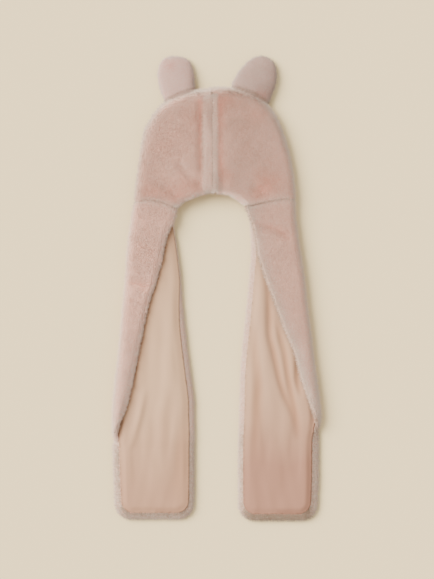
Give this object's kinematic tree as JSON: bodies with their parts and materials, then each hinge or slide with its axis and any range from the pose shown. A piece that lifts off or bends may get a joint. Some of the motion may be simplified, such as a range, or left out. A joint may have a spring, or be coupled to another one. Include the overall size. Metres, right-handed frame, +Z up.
{
  "type": "animal hood scarf",
  "caption": "Plush hood with animal ears and long scarf tails lined in smooth fabric, laid flat with the tails folded over along their outer edges.",
  "frame": {"origin": "under the middle of the whole piece, on the surface it lies on", "axes": "+Y from the tails' ends to the crown, +Z up from the surface, +X to the right when the front of the hood faces the viewer"},
  "size_m": [0.3744, 0.8342, 0.034],
  "materials": {
    "fur_left": "dusty pink short-pile faux fur",
    "fur_right": "dusty pink short-pile faux fur",
    "lining": "smooth peach lining with a faint sheen"
  },
  "bodies": {
    "root": {"hood_panel_left": "fur_left", "hood_panel_right": "fur_right", "ear_left": "fur_left", "ear_right": "fur_right", "tail_fur_left": "fur_left", "tail_fur_right": "fur_right", "tail_lining_left": "lining", "tail_lining_right": "lining"}
  },
  "joints": []
}
